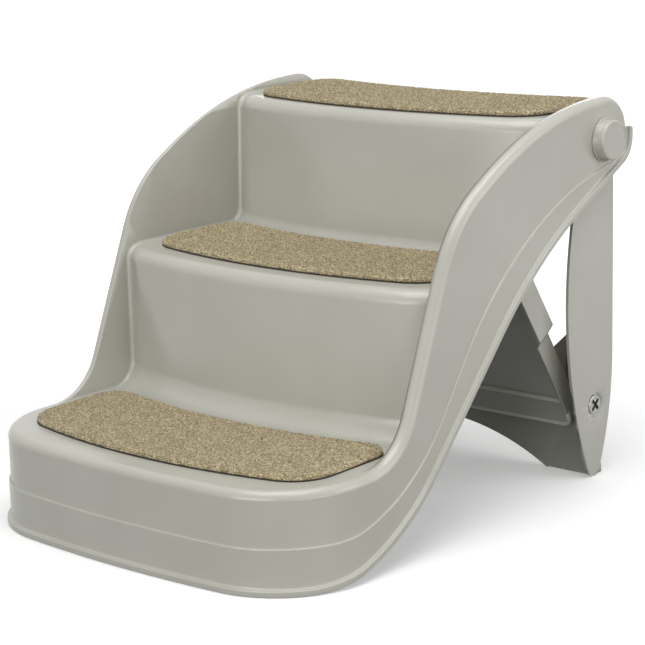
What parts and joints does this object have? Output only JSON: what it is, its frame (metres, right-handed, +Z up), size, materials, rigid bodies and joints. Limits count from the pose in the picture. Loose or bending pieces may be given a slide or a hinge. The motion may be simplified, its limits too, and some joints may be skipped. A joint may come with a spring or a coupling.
{
  "type": "folding pet stairs",
  "caption": "Folding plastic pet stairs with carpet tread mats, closed side rails, a hinged rear leg and a swinging brace tray that locks it.",
  "frame": {"origin": "middle of the footprint on the floor", "axes": "+Z up, +X to the right of someone climbing, +Y from the front step towards the leg"},
  "size_m": [0.422, 0.5163, 0.3717],
  "materials": {
    "shell_plastic": "satin moulded plastic",
    "mat_carpet": "looped beige carpet",
    "steel": "plain steel",
    "bolt_chrome": "bright plated",
    "rubber_feet": "grey rubber"
  },
  "bodies": {
    "stairs": {"stair_shell": "shell_plastic", "tread_mat_bottom": "mat_carpet", "tread_mat_middle": "mat_carpet", "tread_mat_top": "mat_carpet", "hinge_pin_right": "shell_plastic", "hinge_pin_left": "shell_plastic", "hinge_rings": "steel", "brace_pivot_rod": "steel", "pivot_rod_caps": "steel", "base_feet": "rubber_feet"},
    "leg": {"rear_leg": "shell_plastic", "leg_cross_rod": "steel", "rod_bolts": "bolt_chrome", "bolt_washers": "steel", "leg_foot_pads": "rubber_feet"},
    "brace": {"brace_tray": "shell_plastic"}
  },
  "joints": [
    {"name": "leg_fold", "type": "hinge", "parent": "stairs", "child": "leg", "pos_m": [0, 0.21515, 0.332], "axis": [1, 0, 0], "range_deg": [-37.1, 0]},
    {"name": "brace_fold", "type": "hinge", "parent": "stairs", "child": "brace", "pos_m": [0, 0.10165, 0.214], "axis": [1, 0, 0], "range_deg": [-72.25, 0]}
  ],
  "couplings": [
    {"joint": "brace_fold", "follows": "leg_fold", "ratio": 1.9461}
  ]
}
